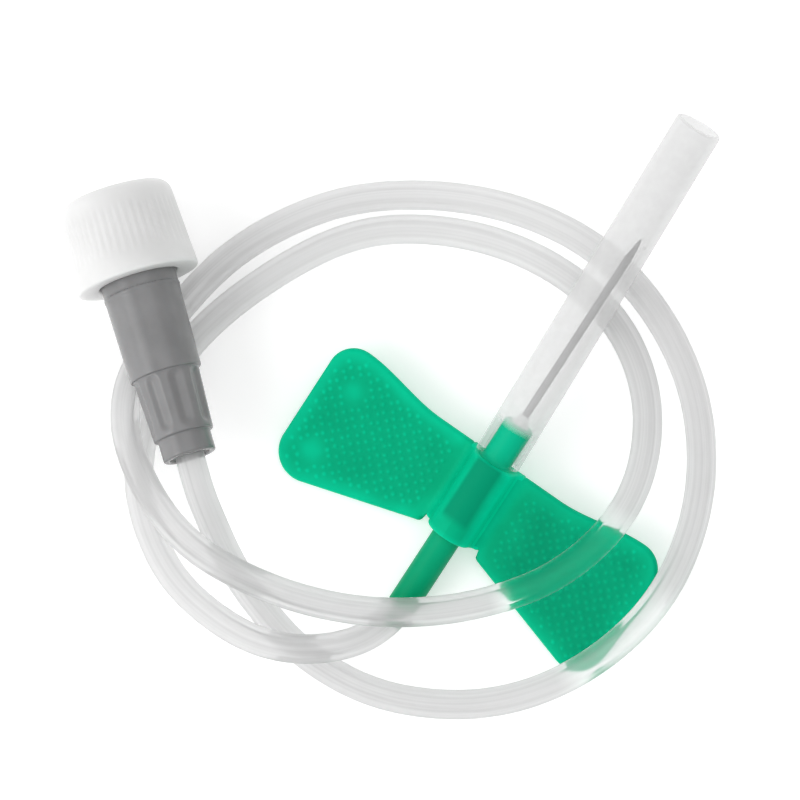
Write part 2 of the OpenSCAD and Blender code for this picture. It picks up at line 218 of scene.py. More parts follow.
# Streaks from drawing the vinyl run far along the tube and little round it. Milk
# is how hazy the vinyl is at each distance from the hub, half as much inside.
streak_stretch = 260
drawn = np.empty(outside.shape)
drawn[..., 0], drawn[..., 1] = np.cos(tube_angle[..., 0]), np.sin(tube_angle[..., 0])
drawn[..., 2] = tube_gone[:, None] / streak_stretch
drawn_attribute = tubing.data.attributes.new("drawn", "FLOAT_VECTOR", "POINT")
drawn_attribute.data.foreach_set("vector", np.concatenate([drawn, drawn[::-1]]).astype(np.float32).ravel())
milk_places = np.array([
    [0, 0.8], [60, 0.72], [85, 0.75], [98, 1.0], [108, 1.0], [115.5, 0.9], [118, 0], [129.5, 0],
    [131.5, 0.85], [190, 0.8], [220, 0.75], [240, 0.9], [258, 1.0], [268, 0.9], [271, 0.35],
    [280, 0.35], [282.5, 0.9], [335, 0.85]])
milk_share = np.interp(tube_gone, milk_places[:, 0], milk_places[:, 1])
milk_share = milk_share[:, None] + 0 * drawn[..., 0]
milk_share = np.concatenate([milk_share, 0.5 * milk_share[::-1]])
tubing.data.attributes.new("milk", "FLOAT", "POINT").data.foreach_set(
    "value", milk_share.astype(np.float32).ravel())

tube_vinyl, tree, shader = new_finish(
    "clear_vinyl", Roughness=0.3, IOR=1.11, Transmission_Weight=1.0, Coat_Weight=0.06,
    Coat_Roughness=0.15, Coat_IOR=1.5)
drawn_node = add_node(tree, "ShaderNodeAttribute", {"attribute_name": "drawn"})
streaks = add_node(tree, "ShaderNodeTexNoise", Vector=drawn_node.outputs["Vector"], Scale=5.0, Detail=2.0)
cloudy = add_node(tree, "ShaderNodeMapRange", Value=streaks.outputs["Fac"], From_Min=0.3, From_Max=0.7,
                  To_Min=-0.37, To_Max=-0.19)
share = add_node(tree, "ShaderNodeAttribute", {"attribute_name": "milk"})
clear = add_node(tree, "ShaderNodeMath", {"operation": "MULTIPLY_ADD"}, i0=cloudy.outputs["Result"],
                 i1=share.outputs["Fac"], i2=1.0)
milk = add_node(tree, "ShaderNodeCombineColor", Red=clear.outputs["Value"], Green=clear.outputs["Value"],
                Blue=clear.outputs["Value"])
tree.links.new(milk.outputs["Color"], shader.inputs["Base Color"])
passing = add_node(tree, "ShaderNodeMath", {"operation": "MULTIPLY_ADD"}, i0=share.outputs["Fac"],
                   i1=-0.3, i2=1.0)
tree.links.new(passing.outputs["Value"], shader.inputs["Transmission Weight"])
let_lamps_through(tree, shader, (1, 1, 1, 1))
tubing.data.materials.append(tube_vinyl)
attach(tubing, "set")
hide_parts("tubing")


# Needle
# A steel tube of the 0.8 mm gauge, drawn a little thinner, ground to a bevel with
# two lancet cuts at its tip and held in the hub. The hub's line climbs 12 degrees
# from its tail to its tip.
hub_slope = np.radians(12)
hub_height = 4.06897


def at_hub(across, along, out):
    """Row-frame points in metres from places in the hub's frame: across it to the
    right wing, along it to the tip and out of the wings' plane, from the middle
    of the sleeve."""
    across, along, out = np.broadcast_arrays(across, along, out)
    y = along * np.cos(hub_slope) - out * np.sin(hub_slope) + table_shift[1]
    z = hub_height + along * np.sin(hub_slope) + out * np.cos(hub_slope)
    return np.stack([across, y, z], -1) / 1000


needle_radius, needle_bore = 0.38, 0.24
needle_foot, needle_tip = 0.0, 29.75
bevel = np.tan(np.radians(14))
lancet_depth, lancet_curve, straight_before_bevel = 2.3, 1.9, 0.8
turn = np.linspace(0, 2 * np.pi, 48, endpoint=False)


def needle_wall(radius, share):
    """Points round the wall at a share of its length. The tip's face is a plane
    that leans back from the lower edge, cut back further at both sides to a point."""
    x, z = radius * np.cos(turn), radius * np.sin(turn)
    main_cut = needle_tip - (z + needle_radius) / bevel
    side_cut = needle_tip - lancet_depth * (np.abs(x) / needle_radius) ** lancet_curve
    end = np.minimum(main_cut, side_cut)
    share = share[:, None]
    body = needle_tip - 2 * needle_radius / bevel - straight_before_bevel
    along = np.where(share <= 0.5, needle_foot + (body - needle_foot) * share * 2,
                     body + (end - body) * (share * 2 - 1))
    return at_hub(x + 0 * share, along, z + 0 * share)


wall_share = np.array([0, 0.25, 0.5, 0.625, 0.75, 0.875, 1.0])
needle = grid_piece("steel_needle", np.concatenate(
    [needle_wall(needle_radius, wall_share), needle_wall(needle_bore, wall_share[::-1])]), loop_rows=True)
needle_steel, tree, shader = new_finish(
    "needle_steel", Base_Color=(0.12, 0.12, 0.122, 1), Metallic=1.0, Roughness=0.45)
place = add_node(tree, "ShaderNodeTexCoord")
along_needle = add_node(tree, "ShaderNodeMapping", Vector=place.outputs["Object"], Scale=(9000, 120, 9000))
grind = add_node(tree, "ShaderNodeTexNoise", Vector=along_needle.outputs["Vector"], Scale=1.0, Detail=3.0)
dull = add_node(tree, "ShaderNodeMapRange", Value=grind.outputs["Fac"], To_Min=0.4, To_Max=0.55)
tree.links.new(dull.outputs["Result"], shader.inputs["Roughness"])
needle.data.materials.append(needle_steel)
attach(needle, "set")
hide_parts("needle")


# Bond
# A small clear fillet of cured adhesive, which closes the hub's nose round
# the needle.
def softened(corners, steps=6):
    """A profile through corners of [radius, place, fillet]: each corner becomes the
    parabola that leaves one side and joins the other at the fillet's distance
    from it, with a short step next to it so that flat faces stay flat."""
    corners = np.array(corners, float)
    points, fillet = corners[:, :2], corners[:, 2]
    line = [points[:1]]
    t = np.linspace(0, 1, steps + 1)[:, None]
    for before, here, after, size in zip(points[:-2], points[1:-1], points[2:], fillet[1:-1]):
        back, on = before - here, after - here
        back_len, on_len = np.linalg.norm(back), np.linalg.norm(on)
        size = min(size, 0.45 * back_len, 0.45 * on_len)
        a, b = here + back / back_len * size, here + on / on_len * size
        lead = min(0.06, 0.1 * back_len), min(0.06, 0.1 * on_len)
        line.append((a + back / back_len * lead[0])[None])
        line.append((1 - t) ** 2 * a + 2 * t * (1 - t) * here + t**2 * b)
        line.append((b + on / on_len * lead[1])[None])
    return np.concatenate(line + [points[-1:]])


def turned_piece(name, corners, place, steps=96, closed=False, merge=1e-6):
    """A piece turned round an axis from its softened profile; place turns across,
    along and out into row-frame points."""
    profile = softened(corners + corners[:1] if closed else corners)
    if closed:
        profile = profile[:-1]
    angle = np.linspace(0, 2 * np.pi, steps, endpoint=False)[None]
    radius, along = profile[:, :1], profile[:, 1:]
    return grid_piece(name, place(radius * np.cos(angle), along + 0 * angle, radius * np.sin(angle)),
                      loop_rows=closed, merge=merge)


nose_end = 8.55
bond_bore = 0.39
bond = turned_piece("needle_bond_fillet", [
    [bond_bore, nose_end - 0.2, 0], [0.95, nose_end - 0.2, 0], [0.95, nose_end + 0.02, 0.15],
    [0.72, nose_end + 0.35, 0.2], [0.48, nose_end + 0.85, 0.2], [bond_bore, nose_end + 1.0, 0]],
    at_hub, 48, True)
clear_bond, tree, shader = new_finish(
    "cured_bond", Base_Color=(0.82, 0.83, 0.82, 1), Roughness=0.3, IOR=1.5, Transmission_Weight=0.3)
place = add_node(tree, "ShaderNodeTexCoord")
runs = add_node(tree, "ShaderNodeTexNoise", Vector=place.outputs["Object"], Scale=1500.0)
wave = add_node(tree, "ShaderNodeBump", Strength=0.3, Distance=0.0001, Height=runs.outputs["Fac"])
tree.links.new(wave.outputs["Normal"], shader.inputs["Normal"])
let_lamps_through(tree, shader, (0.9, 0.9, 0.9, 1))
bond.data.materials.append(clear_bond)
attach(bond, "set")
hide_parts("needle_bond")


# Hub
# Moulded green polypropylene: the nose that holds the needle, with a small flare
# against the sleeve, the core inside the sleeve, the tail behind it and the
# spigot that goes into the tubing.
sleeve_end, tail_end = 4.25, 12.45
hub = turned_piece("green_hub", [
    [0.0, -3.0, 0], [0.55, -3.0, 0.1], [0.55, -tail_end - 2.0, 0],
    [0.73, -tail_end - 2.0, 0.05], [0.73, -tail_end, 0.05], [1.45, -tail_end, 0.18],
    [1.45, -sleeve_end - 0.05, 0.1], [1.35, -sleeve_end, 0.05], [1.35, sleeve_end - 0.1, 0.03],
    [1.75, sleeve_end - 0.03, 0.03], [1.7, sleeve_end + 0.05, 0.05], [1.5, sleeve_end + 0.32, 0.2],
    [1.5, nose_end, 0.75], [0.62, nose_end, 0.12], [0.42, nose_end - 0.3, 0.05],
    [0.42, nose_end - 1.0, 0], [0.0, nose_end - 1.0, 0]], at_hub)
hub_green, tree, shader = new_finish(
    "hub_green", Roughness=0.4, IOR=1.49, Specular_IOR_Level=0.08)
place = add_node(tree, "ShaderNodeTexCoord")
along_hub = add_node(tree, "ShaderNodeSeparateXYZ", Vector=place.outputs["Object"])
clouds = add_node(tree, "ShaderNodeTexNoise", Vector=place.outputs["Object"], Scale=420.0, Detail=2.0)
wander = add_node(tree, "ShaderNodeMath", {"operation": "MULTIPLY_ADD"}, i0=clouds.outputs["Fac"],
                  i1=0.0016, i2=along_hub.outputs["Y"])
from_tail = add_node(tree, "ShaderNodeMapRange", Value=wander.outputs["Value"], From_Min=-0.0253,
                     From_Max=-0.0061)
hub_shade = add_node(tree, "ShaderNodeValToRGB", Fac=from_tail.outputs["Result"])
hub_shade.color_ramp.elements[0].color = (0.0, 0.305, 0.13, 1)
hub_shade.color_ramp.elements[1].color = (0.0, 0.49, 0.272, 1)
tree.links.new(hub_shade.outputs["Color"], shader.inputs["Base Color"])
pebble = add_node(tree, "ShaderNodeBump", Strength=0.15, Distance=0.0001, Height=clouds.outputs["Fac"])
tree.links.new(pebble.outputs["Normal"], shader.inputs["Normal"])
hub.data.materials.append(hub_green)
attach(hub, "set")
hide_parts("needle_hub")


# Wing sleeve
# The barrel of the soft green vinyl moulding, which grips the hub's core. The
# core shows through it as a darker band.
sleeve_radius, plate_thickness, core_hole = 2.3, 0.9, 1.37
plate_top = plate_thickness - sleeve_radius
root_reach = 3.0
t = np.linspace(0, 1, 60)[:, None]
web_curve = ((1 - t) ** 2 * [2.291, 0.2] + 2 * t * (1 - t) * [2.431, plate_top]
             + t**2 * [3.45, plate_top])  # from the barrel's side to the plate


def sleeve_ring(count, fine_count=1200, evening=7):
    """The barrel's section, from the middle of its flat base round to it again:
    base, short root wall, web and arc, evened by a running mean over the fine
    steps that lie that near."""
    arc = np.radians(np.linspace(5, 175, 60))
    web = web_curve[web_curve[:, 0] < root_reach][:2:-1]
    half = np.concatenate([[[0, -sleeve_radius], [root_reach, -sleeve_radius]], web])
    arc_points = sleeve_radius * np.stack([np.cos(arc), np.sin(arc)], 1)
    ring = np.concatenate([half, arc_points, half[:0:-1] * [-1, 1], half[:1]])
    gone = distance_gone(ring)
    even = np.linspace(0, gone[-1], fine_count, endpoint=False)
    ring = np.stack([np.interp(even, gone, ring[:, k]) for k in range(2)], 1)
    ring = sum(np.roll(ring, k, axis=0) for k in range(-evening, evening + 1)) / (2 * evening + 1)
    return ring[:: fine_count // count]


ring = sleeve_ring(200)
step = np.roll(ring, -1, axis=0) - np.roll(ring, 1, axis=0)
outwards = np.stack([step[:, 1], -step[:, 0]], 1) / np.linalg.norm(step, axis=1, keepdims=True)
edge_round = 0.28
bend = np.radians(np.linspace(0, 90, 7))
straight = np.linspace(3.6, -3.6, 16)
end_places = np.concatenate([sleeve_end - edge_round * (1 - np.sin(bend[::-1])), straight,
                             -sleeve_end + edge_round * (1 - np.sin(bend))])
end_inset = np.concatenate([edge_round * (1 - np.cos(bend[::-1])), 0 * straight,
                            edge_round * (1 - np.cos(bend))])
skin = ring[None] - end_inset[:, None, None] * outwards[None]
hole_turn = np.arctan2(ring[:, 1], ring[:, 0])
hole = core_hole * np.stack([np.cos(hole_turn), np.sin(hole_turn)], 1)
rear_face = np.stack([skin[-1] + (hole - skin[-1]) * s for s in (0.15, 1.0)])
front_face = np.stack([hole + (skin[0] - hole) * s for s in (0.0, 0.85)])
section = np.concatenate([skin, rear_face, front_face])
place_along = np.concatenate([end_places, [-sleeve_end, -sleeve_end, sleeve_end, sleeve_end]])
sleeve = grid_piece("vinyl_sleeve", at_hub(section[..., 0], place_along[:, None], section[..., 1]),
                    loop_rows=True)


def soft_vinyl(name, deep, plain, lit, band):
    """The moulding's vinyl. Its colour runs from deep through plain to lit by the
    piece's own attribute: the vinyl's thinness together with painted light and shade.
    With band, the strip over the hub's core is darker, with a soft edge, and fades at the front rim as a
    painted highlight."""
    finish, tree, shader = new_finish(
        name, Roughness=0.5, IOR=1.45, Specular_IOR_Level=0.05)
    place = add_node(tree, "ShaderNodeTexCoord")
    thin = add_node(tree, "ShaderNodeAttribute", {"attribute_name": "thin"})
    clouds = add_node(tree, "ShaderNodeTexNoise", Vector=place.outputs["Object"], Scale=260.0, Detail=3.0)
    cloud_shift = add_node(tree, "ShaderNodeMath", {"operation": "MULTIPLY_ADD"}, i0=clouds.outputs["Fac"],
                           i1=0.4, i2=-0.2)
    level = add_node(tree, "ShaderNodeMath", i0=thin.outputs["Fac"], i1=cloud_shift.outputs["Value"])
    shade = add_node(tree, "ShaderNodeValToRGB", Fac=level.outputs["Value"])
    shade.color_ramp.elements[0].color = (*deep, 1)
    shade.color_ramp.elements[1].color = (*lit, 1)
    shade.color_ramp.elements.new(0.5).color = (*plain, 1)
    colour = shade.outputs["Color"]
    if band:
        parts = add_node(tree, "ShaderNodeSeparateXYZ", Vector=place.outputs["Object"])
        side = add_node(tree, "ShaderNodeMath", {"operation": "ABSOLUTE"}, i0=parts.outputs["X"])
        across = add_node(tree, "ShaderNodeMapRange", Value=side.outputs["Value"], From_Min=0.00112,
                          From_Max=0.00158, To_Min=1.0, To_Max=0.0)
        across.interpolation_type = "SMOOTHSTEP"
        rear = add_node(tree, "ShaderNodeMapRange", Value=parts.outputs["Y"], From_Min=-0.0168,
                        From_Max=-0.0158)
        rear.interpolation_type = "SMOOTHSTEP"
        # Painted highlight: towards the sleeve's front rim the dark band fades to 0.3 of its strength.
        rim_highlight = add_node(tree, "ShaderNodeMapRange", Value=parts.outputs["Y"], From_Min=-0.01015,
                       From_Max=-0.0099, To_Min=1.0, To_Max=0.3)
        along = add_node(tree, "ShaderNodeMath", {"operation": "MULTIPLY"}, i0=rear.outputs["Result"],
                         i1=rim_highlight.outputs["Result"])
        core = add_node(tree, "ShaderNodeMath", {"operation": "MULTIPLY"}, i0=across.outputs["Result"],
                        i1=along.outputs["Value"])
        darker = add_node(tree, "ShaderNodeMix", {"data_type": "RGBA"}, i0=core.outputs["Value"], i6=colour,
                          i7=(0.0, 0.3, 0.155, 1))
        colour = darker.outputs[2]
    tree.links.new(colour, shader.inputs["Base Color"])
    grain = add_node(tree, "ShaderNodeTexNoise", Vector=place.outputs["Object"], Scale=3200.0, Detail=2.0)
    satin = add_node(tree, "ShaderNodeBump", Strength=0.12, Distance=0.00008, Height=grain.outputs["Fac"])
    tree.links.new(satin.outputs["Normal"], shader.inputs["Normal"])
    return finish


def set_thin(piece, values):
    """Stores how light the vinyl looks at each point, from 0 to 1: its thinness together with painted light
    and shade.
    """
    piece.data.attributes.new("thin", "FLOAT", "POINT").data.foreach_set(
        "value", np.clip(values, 0, 1).astype(np.float32).ravel())


across = np.abs(section[..., 0])
# Painted light: the barrel's right side is much lighter, where the side light from the left leaves it in
# shade; past 2.35 mm it falls to meet the right wing's root.
right_side = (0.54 + 0.48 * np.clip((across - 1.5) / 0.7, 0, 1)
              - 0.08 * np.clip((across - 2.35) / 0.3, 0, 1))
left_side = 0.6 + 0.04 * np.clip((across - 1.2) / 1.0, 0, 1)
to_side = np.where(section[..., 0] > 0, right_side, left_side)
# Painted highlight along the sleeve's rounded front and rear edges.
end_rim_highlight = np.exp(-(((sleeve_end - np.abs(place_along)) / 0.3) ** 2))[:, None]
set_thin(sleeve, to_side + 0.25 * end_rim_highlight)
deep_green, wing_green, lit_green = (0.0, 0.27, 0.135), (0.0, 0.42, 0.212), (0.0, 0.7, 0.385)
sleeve.data.materials.append(soft_vinyl("sleeve_vinyl", deep_green, wing_green, lit_green, True))
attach(sleeve, "set")
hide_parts("wing_sleeve")


# Wings
# The moulding's two wings, 0.9 mm thick with rounded edges and rows of small
# round studs for grip, each with a shallow groove along the line beside the sleeve.
wing_root, wing_tip = 3.1, 18.7
front_reach, rear_reach = 5.45, 8.75
front_corner, rear_corner = 2.7, 3.0
heel_reach, heel_radius = 5.2, 0.6
edge_radius = 0.4
stud_pitch, stud_radius, stud_height, stud_margin = 0.78, 0.33, 0.08, 1.0


def wing_edges(x):
    """The front and rear edge at each distance from the hub's line. The front edge
    flares smoothly to its corner; the rear edge is the straight line that touches
    the heel's arc and the rear corner's arc."""
    flare_x, corner_x = wing_tip * 0.37, wing_tip - front_corner
    t = np.clip((x - flare_x) / (corner_x - flare_x), 0, 1)
    front = sleeve_end + (front_reach - sleeve_end) * t * t * (3 - 2 * t)
    into = np.clip(x - corner_x, 0, front_corner)
    front = front - front_corner + np.sqrt(front_corner**2 - into**2)
    rear_c = np.array([wing_tip - rear_corner, rear_corner - rear_reach])
    heel_c = np.array([wing_root + heel_radius, heel_radius - heel_reach])
    span = rear_c - heel_c
    lean = np.arctan2(span[1], span[0]) - np.arccos((heel_radius - rear_corner) / np.linalg.norm(span))
    normal = np.array([np.cos(lean), np.sin(lean)])
    heel_touch, rear_touch = heel_c + heel_radius * normal, rear_c + rear_corner * normal
    touch_span = rear_touch - heel_touch
    rear = heel_touch[1] + (x - heel_touch[0]) * touch_span[1] / touch_span[0]
    heel_arc = heel_c[1] - np.sqrt(np.maximum(heel_radius**2 - (x - heel_c[0]) ** 2, 0))
    rear_arc = rear_c[1] - np.sqrt(np.maximum(rear_corner**2 - (x - rear_c[0]) ** 2, 0))
    rear = np.where(x < heel_touch[0], heel_arc, np.where(x > rear_touch[0], rear_arc, rear))
    return front, rear


def edge_distance(x, y):
    """Distance of each point from the wing's outline, root edge apart, by the
    nearest of its short straight pieces."""
    corner_x = wing_tip - front_corner
    corner_turn = np.linspace(0, np.pi / 2, 30)[1:]
    outline_x = np.concatenate([np.linspace(wing_root, corner_x, 60),
                                corner_x + front_corner * np.sin(corner_turn)])
    front, rear = wing_edges(outline_x)
    line = np.concatenate([np.stack([outline_x, front], 1), np.stack([outline_x, rear], 1)[::-1]])
    start, leg = line[:-1], np.diff(line, axis=0)
    point = np.stack([x.ravel(), y.ravel()], 1)[:, None]
    share = np.clip(((point - start) * leg).sum(-1) / np.maximum((leg**2).sum(-1), 1e-12), 0, 1)
    near = np.linalg.norm(point - start - share[..., None] * leg, axis=-1).min(1)
    return near.reshape(x.shape)


def nearest_stud(x, y, pitch):
    """The stud nearest to each point, on a square lattice turned by 45 degrees."""
    u, v = (x + y) / np.sqrt(2), (x - y) / np.sqrt(2)
    u, v = np.round(u / pitch) * pitch, np.round(v / pitch) * pitch
    return (u + v) / np.sqrt(2), (u - v) / np.sqrt(2)


def wing_piece(name, side, smooth_pads, shades):
    """One wing as a closed skin: a grid of places between the edges, lifted to its
    upper and lower face, which meet in a half-round edge, with a stud at each
    lattice place that lies clear of the margins and the smooth pads. Its shades
    set how light the vinyl is along it, at its edges and at its root: its own
    tone together with painted light and shade."""
    near = np.array([0, 0.02, 0.07, 0.15, 0.26, 0.4])
    root_rows = [2.34, 2.4, 2.45, 2.5, 2.55, 2.6, 2.7, 2.8, 2.88, 2.96, 3.04, 3.1, 3.16, 3.25,
                 3.35, 3.48, 3.64, 3.8]
    x = np.concatenate([root_rows, np.arange(3.9, wing_tip - 0.5, 0.1),
                        wing_tip - near[::-1]])[:, None]
    hidden = x < wing_root - 0.05
    front, rear = wing_edges(np.maximum(x, wing_root))
    front, rear = np.where(hidden, 4.22, front), np.where(hidden, -4.22, rear)
    span = front - rear
    share = np.linspace(0, 1, 128)[None]
    y_near = np.minimum(near / 8.5, 0.06)
    share = np.concatenate([y_near[None], 0.055 + 0.89 * share, 1 - y_near[None, ::-1]], 1)
    y = front - span * share
    x = x + 0 * y
    inset = edge_distance(np.maximum(x, wing_root), y)
    inset = np.where(hidden, np.minimum(front - y, y - rear), inset)
    fall = 1 - np.minimum(inset / edge_radius, 1)
    swell = np.sqrt(1 - fall**2)
    half = plate_thickness / 2
    middle = plate_top - half
    web = np.interp(x, web_curve[:, 0], web_curve[:, 1]) - plate_top
    web = web + np.where(x < 3.0, 0.012 - 0.06 * np.clip(2.72 - x, 0, 1), 0)
    top = middle + (half + web) * swell
    bottom = middle - (half - 0.03 * hidden) * swell
    fold = np.exp(-(((x - 3.4) / 0.3) ** 2)) * ~hidden
    top = top - 0.02 * fold * swell
    stud_x, stud_y = nearest_stud(x, y, stud_pitch)
    stud_inset = edge_distance(stud_x, stud_y)
    stud_front, stud_rear = wing_edges(np.clip(stud_x, wing_root, wing_tip))
    clear = (stud_inset > stud_margin) & (stud_x > 4.3) & (stud_y < stud_front) & (stud_y > stud_rear)
    for pad_x, pad_y, pad_radius in smooth_pads:
        clear &= np.hypot(stud_x - pad_x, stud_y - pad_y) > pad_radius
    astray = 0.09 * np.stack([np.sin(stud_x * 7 + stud_y * 13), np.sin(stud_x * 11 - stud_y * 5)])
    from_stud = np.hypot(x - stud_x - astray[0], y - stud_y - astray[1])
    stud = np.where(clear, np.cos(np.minimum(from_stud / stud_radius, 1) * np.pi / 2) ** 2, 0)
    top = top + stud_height * stud
    shade, edge_highlight, root_shade = shades
    plain_level = np.interp(x, [4.5, 7, 15], shade)
    # Each stud is painted lighter, as a highlight on it.
    level = plain_level + 0.26 * stud
    # The edges are painted lighter, as a highlight where they catch the light.
    level = level + (edge_highlight - plain_level) * np.exp(-((inset / 1.4) ** 2))
    # Towards the root the level goes to the root's own; on the right wing that is raised as painted light
    # against the barrel's shade.
    level = root_shade + (level - root_shade) * np.clip((x - 2.9) / 1.3, 0, 1)
    # The smooth pads are lighter.
    for pad_x, pad_y, pad_radius in smooth_pads:
        level = level + 0.32 * np.exp(-((np.hypot(x - pad_x, y - pad_y) / pad_radius) ** 2))
    x, y = np.concatenate([x, x[:, ::-1]], 1), np.concatenate([y, y[:, ::-1]], 1)
    out = np.concatenate([top, bottom[:, ::-1]], 1)
    rows = at_hub(side * x, y, out)
    root = at_hub(side * x[:1], y[:1] * 0, out[:1] * 0 + middle)
    tip = at_hub(side * x[-1:], y[-1:], out[-1:] * 0 + middle)
    rows = np.concatenate([root, rows[:-1], tip])
    piece = grid_piece(name, rows)
    level = np.concatenate([level, level[:, ::-1]], 1)
    set_thin(piece, np.concatenate([level[:1], level]))
    shape = bmesh.new()
    shape.from_mesh(piece.data)
    bmesh.ops.remove_doubles(shape, verts=shape.verts, dist=2e-6)
    shape.to_mesh(piece.data)
    shape.free()
    return piece


left_wing = wing_piece("left_vinyl_wing", -1, [(15.2, 1.6, 1.3), (15.5, -5.4, 1.4)],
                       ([0.42, 0.36, 0.38], 0.76, 0.58))
right_wing = wing_piece("right_vinyl_wing", 1, [], ([0.37, 0.13, 0.2], 0.6, 0.7))
wing_vinyl = soft_vinyl("wing_vinyl", deep_green, wing_green, lit_green, False)
for wing, side, node_name in ((left_wing, -1, "left_wing"), (right_wing, 1, "right_wing")):
    wing.data.materials.append(wing_vinyl)
    fold_start, fold_stop = (at_hub(side * place, 0.0, plate_top) for place in (2.98, 3.6))
    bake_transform(wing)
    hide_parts(node_name)


# Guard
# A length of frosted clear tube, pushed over the needle and the hub's nose and
# open at its far end. It sits a little askew on the nose, and is clear along
# the top of the nose.
guard_radius, guard_wall, guard_length, guard_near = 2.3, 0.6, 37.5, 4.55
guard_rise, guard_swing = np.radians(1.0), np.radians(1.7)


def at_guard(across, along, out):
    """Row-frame points from the guard's frame, whose line rises and swings a little
    from the hub's."""
    rise_along = along * np.cos(guard_rise) - out * np.sin(guard_rise)
    rise_out = along * np.sin(guard_rise) + out * np.cos(guard_rise)
    return at_hub(across * np.cos(guard_swing) - rise_along * np.sin(guard_swing),
                  guard_near + across * np.sin(guard_swing) + rise_along * np.cos(guard_swing), rise_out)


guard_bore = guard_radius - guard_wall
guard = turned_piece("frosted_guard", [
    [guard_bore, 0, 0.1], [guard_radius, 0, 0.15], [guard_radius, 3.4, 0], [guard_radius, 4.4, 0],
    [guard_radius, guard_length, 0.22], [guard_bore, guard_length, 0.1],
    [guard_bore, 4.4, 0], [guard_bore, 3.4, 0]], at_guard, closed=True)
spots = np.empty(len(guard.data.vertices) * 3, np.float32)
guard.data.vertices.foreach_get("co", spots)
guard_foot, guard_end, guard_up = 1000 * at_guard(
    np.zeros(3), np.array([0, guard_length, 0]), np.array([0, 0, 1.0]))
from_foot = spots.reshape(-1, 3) * 1000 - guard_foot
guard_line, guard_up = (guard_end - guard_foot) / guard_length, guard_up - guard_foot
from_line = from_foot - (from_foot @ guard_line)[:, None] * guard_line
is_inner = np.linalg.norm(from_line, axis=1) < guard_radius - guard_wall / 2
upwards = from_line @ guard_up / np.linalg.norm(from_line, axis=1)
on_nose = (from_foot @ guard_line < 3.9) * np.clip((upwards - 0.3) / 0.25, 0, 1)
frost = np.where(is_inner, 0.3, 1.0) * (1 - on_nose)
guard.data.attributes.new("frost", "FLOAT", "POINT").data.foreach_set("value", frost.astype(np.float32))
guard_frost, tree, shader = new_finish("frosted_clear", Roughness=0.4, IOR=1.45, Specular_IOR_Level=0.25)
place = add_node(tree, "ShaderNodeTexCoord")
frosted = add_node(tree, "ShaderNodeAttribute", {"attribute_name": "frost"})
haze = add_node(tree, "ShaderNodeTexNoise", Vector=place.outputs["Object"], Scale=900.0, Detail=2.0)
film = add_node(tree, "ShaderNodeMapRange", Value=haze.outputs["Fac"], From_Min=0.3, From_Max=0.7,
                To_Min=0.44, To_Max=0.47)
veil = add_node(tree, "ShaderNodeMath", {"operation": "MULTIPLY"}, i0=frosted.outputs["Fac"],
                i1=film.outputs["Result"])
tree.links.new(veil.outputs["Value"], shader.inputs["Alpha"])
along_guard = add_node(tree, "ShaderNodeSeparateXYZ", Vector=place.outputs["Object"])
# Painted light: the guard's grey is lighter near its foot, where it lies over tubing and shade, and darker
# towards its far end over the bright table.
guard_painted_light = add_node(tree, "ShaderNodeMapRange", Value=along_guard.outputs["Y"], From_Min=-0.009,
                From_Max=0.024, To_Min=0.9, To_Max=0.72)
tree.links.new(guard_painted_light.outputs["Result"], shader.inputs["Base Color"])
guard.data.materials.append(guard_frost)
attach(guard, "guard")
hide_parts("needle_guard")


# Connector
# Moulded grey plastic, bonded round the tubing: a tapering body with a bead
# near the cap, a fluted grip and a short collar. A cone socket and two lugs
# at its mouth are under the cap.
mouth = np.array([-43.3717, 3.3520, 5.47867]) + table_shift
connector_line = np.array([0.785582, -0.613764, 0.0784591])
connector_side = np.cross([0.0, 0.0, 1.0], connector_line)
connector_side /= np.linalg.norm(connector_side)
connector_top = np.cross(connector_line, connector_side)


def at_connector(across, along, out):
    """Row-frame points from the connector's frame, along it from its mouth."""
    across, along, out = np.broadcast_arrays(across, along, out)
    return (mouth + across[..., None] * connector_side + along[..., None] * connector_line
            + out[..., None] * connector_top) / 1000


body_radius, body_end_radius, body_length = 3.8, 3.475, 16.65
grip_radius, grip_end_radius, grip_length = 3.18, 2.9, 6.1
collar_radius, connector_length = 2.55, 24.85
bead_place, bead_half, bead_height = 8.5, 0.32, 0.09
socket_depth, lumen_radius = 7.8, 0.75
tube_seat_radius, tube_seat_end = 1.43, 20.9
flute_count, flute_depth, flute_half_width, flute_fade = 8, 0.3, 0.95, 0.9
flute_base_radius = 3.0
lug_radius, lug_half_width, lug_length = 3.93, 2.1, 1.9


def body_at(place):
    """Radius of the tapering body at a distance from the mouth."""
    return body_radius - (body_radius - body_end_radius) * place / body_length


def refined(profile, step):
    """The profile with points added along it, one for each step, so that flutes, lugs
    and ribs can be cut into the turned shape. Points that all but meet become one."""
    gone = distance_gone(profile)
    fine = np.unique(np.concatenate([gone, np.arange(0, gone[-1], step)]))
    fine = fine[np.concatenate([[True], np.diff(fine) > 0.004])]
    return np.stack([np.interp(fine, gone, profile[:, k]) for k in range(2)], 1)


